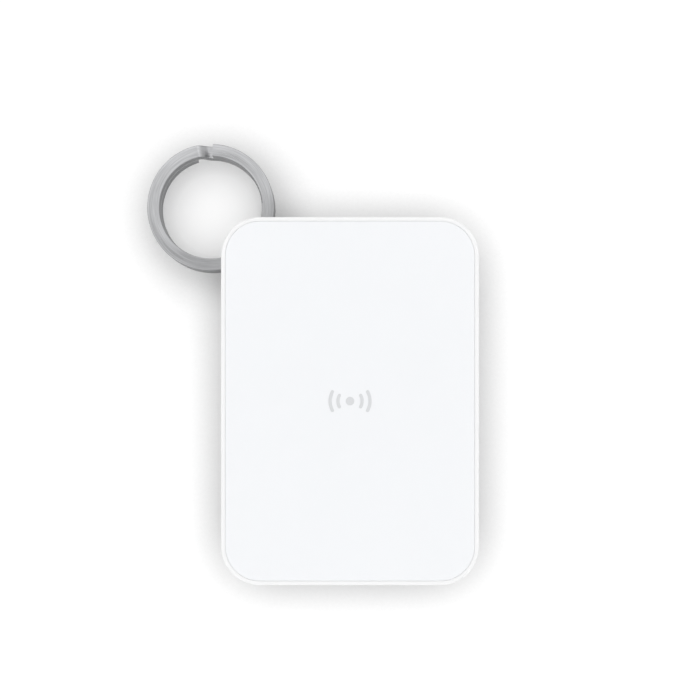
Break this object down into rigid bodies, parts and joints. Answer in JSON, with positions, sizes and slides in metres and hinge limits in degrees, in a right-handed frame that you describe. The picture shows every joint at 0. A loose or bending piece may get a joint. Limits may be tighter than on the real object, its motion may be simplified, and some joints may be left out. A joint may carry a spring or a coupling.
{
  "type": "bluetooth tracker tag",
  "caption": "Flat rounded-rectangle wireless tracker tag with a pressable front panel, a twist-off cell door at the back and a split key ring through one corner.",
  "frame": {"origin": "middle of the case's flat back face", "axes": "+Z out of the front panel, +Y along the case towards the key-ring end, +X to the right seen from the front"},
  "size_m": [0.0517, 0.0687, 0.007],
  "materials": {
    "shell_white": "smooth white polycarbonate with a light satin sheen",
    "panel_white": "very smooth white panel, slightly cooler than the frame",
    "mark_grey": "flush light grey printed ink",
    "ring_steel": "satin nickel-plated spring steel, brushed round the ring",
    "post_steel": "turned stainless pin",
    "screw_steel": "nickel-plated screws",
    "door_white": "fine-textured light grey-white plastic",
    "seal_rubber": "silicone rubber",
    "gasket_foam": "white closed-cell silicone foam",
    "cell_can": "polished nickel-plated can",
    "contact_steel": "gold-flashed spring steel strip",
    "board_green": "solder-masked glass-epoxy laminate",
    "chip_black": "moulded epoxy",
    "can_metal": "plated steel crystal can",
    "ceramic_white": "fired ceramic",
    "ceramic_tan": "fired tan ceramic with plated ends",
    "led_clear": "milky cast epoxy lens",
    "switch_black": "moulded nylon",
    "switch_metal": "stamped stainless sheet",
    "plunger_white": "moulded nylon",
    "sounder_brass": "rolled brass sheet",
    "mesh_black": "fine woven acoustic mesh"
  },
  "bodies": {
    "case": {"back_shell": "shell_white", "front_frame": "shell_white", "case_seal": "seal_rubber", "case_screws": "screw_steel", "panel_gasket": "gasket_foam", "ring_post": "post_steel", "battery_cell": "cell_can", "negative_contact": "contact_steel", "positive_contacts": "contact_steel", "circuit_board": "board_green", "bluetooth_chip": "chip_black", "crystal_main": "can_metal", "crystal_clock": "can_metal", "inductor": "chip_black", "status_led": "led_clear", "chip_antenna": "ceramic_white", "buzzer_driver": "chip_black", "capacitors": "ceramic_tan", "resistors": "chip_black", "switch_body": "switch_black", "switch_dome": "switch_metal", "switch_cover": "switch_metal", "acoustic_mesh": "mesh_black", "buzzer_foam": "gasket_foam", "buzzer_plate": "sounder_brass", "buzzer_element": "ceramic_white", "buzzer_springs": "contact_steel"},
    "ring": {"split_ring": "ring_steel"},
    "panel": {"front_panel": "panel_white", "panel_mark": "mark_grey"},
    "plunger": {"switch_plunger": "plunger_white"},
    "door": {"battery_door": "door_white", "door_seal": "seal_rubber"}
  },
  "joints": [
    {"name": "ring_swing", "type": "hinge", "parent": "case", "child": "ring", "pos_m": [-0.01702, 0.02547, 0.00315], "axis": [0, 0, 1], "range_deg": [-30, 30]},
    {"name": "panel_press", "type": "slide", "parent": "case", "child": "panel", "axis": [0, 0, -1], "range_m": [0, 0.0003], "stiffness_N_per_m": 2500, "springref_m": -0.0002, "deforming": ["panel_gasket"]},
    {"name": "plunger_press", "type": "slide", "parent": "case", "child": "plunger", "axis": [0, 0, -1], "range_m": [0, 0.0003], "deforming": ["switch_dome"]},
    {"name": "door_twist", "type": "hinge", "parent": "case", "child": "door", "pos_m": [0, -0.0134, 0.001], "axis": [0, 0, -1], "range_deg": [0, 35]}
  ],
  "couplings": [
    {"joint": "plunger_press", "follows": "panel_press", "ratio": 1}
  ]
}
